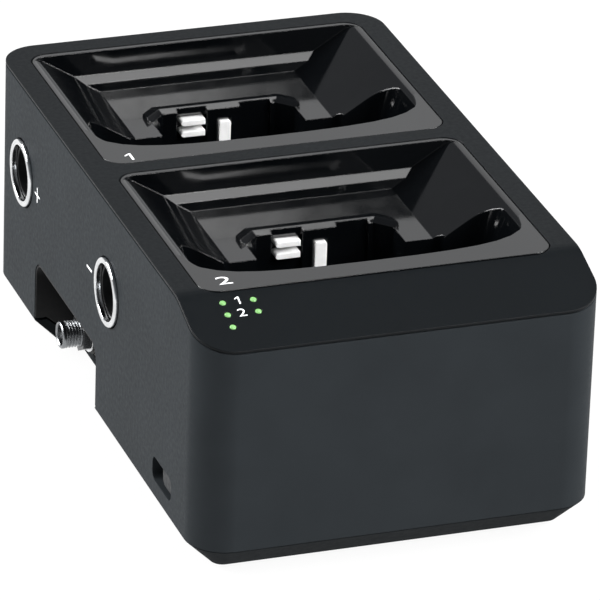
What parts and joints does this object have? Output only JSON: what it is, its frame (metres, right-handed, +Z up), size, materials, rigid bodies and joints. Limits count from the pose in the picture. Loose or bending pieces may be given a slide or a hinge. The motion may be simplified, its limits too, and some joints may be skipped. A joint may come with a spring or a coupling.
{
  "type": "dual docking charger",
  "caption": "Desktop dock that charges two pocket transmitters, with side link sockets, a threaded power jack in a side recess, a slide switch and green indicator lights.",
  "frame": {"origin": "on the desk under the middle of the case", "axes": "+X to the right as seen from the front, +Y to the back, +Z up"},
  "size_m": [0.0999, 0.165, 0.066],
  "materials": {
    "case_plastic": "fine-textured charcoal moulding",
    "cover_plastic": "satin near-black moulding",
    "gloss_black": "polished black moulding",
    "black_plastic": "plain black moulding",
    "grey_plastic": "satin grey moulding",
    "bright_chrome": "polished",
    "nickel_plate": "nickel plated",
    "contact_plate": "bright plated contact metal",
    "steel": "zinc plated",
    "green_light": "clear green lens, lit",
    "circuit_board": "green laminate",
    "ferrite": "moulded ferrite",
    "capacitor_can": "drawn can",
    "chip_body": "moulded epoxy",
    "rubber_foot": "matt rubber"
  },
  "bodies": {
    "case": {"base_plate": "case_plastic", "housing_shell": "case_plastic", "top_cover": "cover_plastic", "bay_insert_front": "gloss_black", "bay_insert_rear": "gloss_black", "contact_carrier_front": "black_plastic", "contact_carrier_rear": "black_plastic", "link_cup_plus": "black_plastic", "link_cup_minus": "black_plastic", "jack_recess": "black_plastic", "jack_insulator": "black_plastic", "jack_body": "black_plastic", "switch_body": "black_plastic", "contact_header_front": "grey_plastic", "contact_header_rear": "grey_plastic", "link_ring_plus": "bright_chrome", "link_ring_minus": "bright_chrome", "jack_washer": "bright_chrome", "jack_barrel": "nickel_plate", "link_contact_plus": "nickel_plate", "link_contact_minus": "nickel_plate", "jack_pin": "contact_plate", "jack_nut": "steel", "case_screw_front_left": "steel", "case_screw_front_right": "steel", "case_screw_rear_left": "steel", "case_screw_rear_right": "steel", "board_screw_front_left": "steel", "board_screw_front_right": "steel", "board_screw_rear_left": "steel", "board_screw_rear_right": "steel", "light_1": "green_light", "light_2": "green_light", "light_3": "green_light", "light_4": "green_light", "light_5": "green_light", "main_board": "circuit_board", "indicator_board": "circuit_board", "inductor_front": "ferrite", "inductor_rear": "ferrite", "capacitor_front": "capacitor_can", "capacitor_rear": "capacitor_can", "controller_chip_front": "chip_body", "controller_chip_rear": "chip_body", "foot_front_left": "rubber_foot", "foot_front_right": "rubber_foot", "foot_rear_left": "rubber_foot", "foot_rear_right": "rubber_foot"},
    "contact_front_upper": {"contact_front_upper": "contact_plate"},
    "contact_front_lower": {"contact_front_lower": "contact_plate"},
    "contact_front_blade": {"contact_front_blade": "contact_plate"},
    "contact_rear_upper": {"contact_rear_upper": "contact_plate"},
    "contact_rear_lower": {"contact_rear_lower": "contact_plate"},
    "contact_rear_blade": {"contact_rear_blade": "contact_plate"},
    "switch_knob": {"switch_knob": "grey_plastic"}
  },
  "joints": [
    {"name": "switch_slide", "type": "slide", "parent": "case", "child": "switch_knob", "axis": [0, 1, 0], "range_m": [0, 0.0053]},
    {"name": "contact_front_upper_press", "type": "slide", "parent": "case", "child": "contact_front_upper", "axis": [0, 1, 0], "range_m": [0, 0.001], "stiffness_N_per_m": 400},
    {"name": "contact_front_lower_press", "type": "slide", "parent": "case", "child": "contact_front_lower", "axis": [0, 1, 0], "range_m": [0, 0.001], "stiffness_N_per_m": 400},
    {"name": "contact_front_blade_press", "type": "slide", "parent": "case", "child": "contact_front_blade", "axis": [0, 1, 0], "range_m": [0, 0.001], "stiffness_N_per_m": 400},
    {"name": "contact_rear_upper_press", "type": "slide", "parent": "case", "child": "contact_rear_upper", "axis": [0, 1, 0], "range_m": [0, 0.001], "stiffness_N_per_m": 400},
    {"name": "contact_rear_lower_press", "type": "slide", "parent": "case", "child": "contact_rear_lower", "axis": [0, 1, 0], "range_m": [0, 0.001], "stiffness_N_per_m": 400},
    {"name": "contact_rear_blade_press", "type": "slide", "parent": "case", "child": "contact_rear_blade", "axis": [0, 1, 0], "range_m": [0, 0.001], "stiffness_N_per_m": 400}
  ]
}
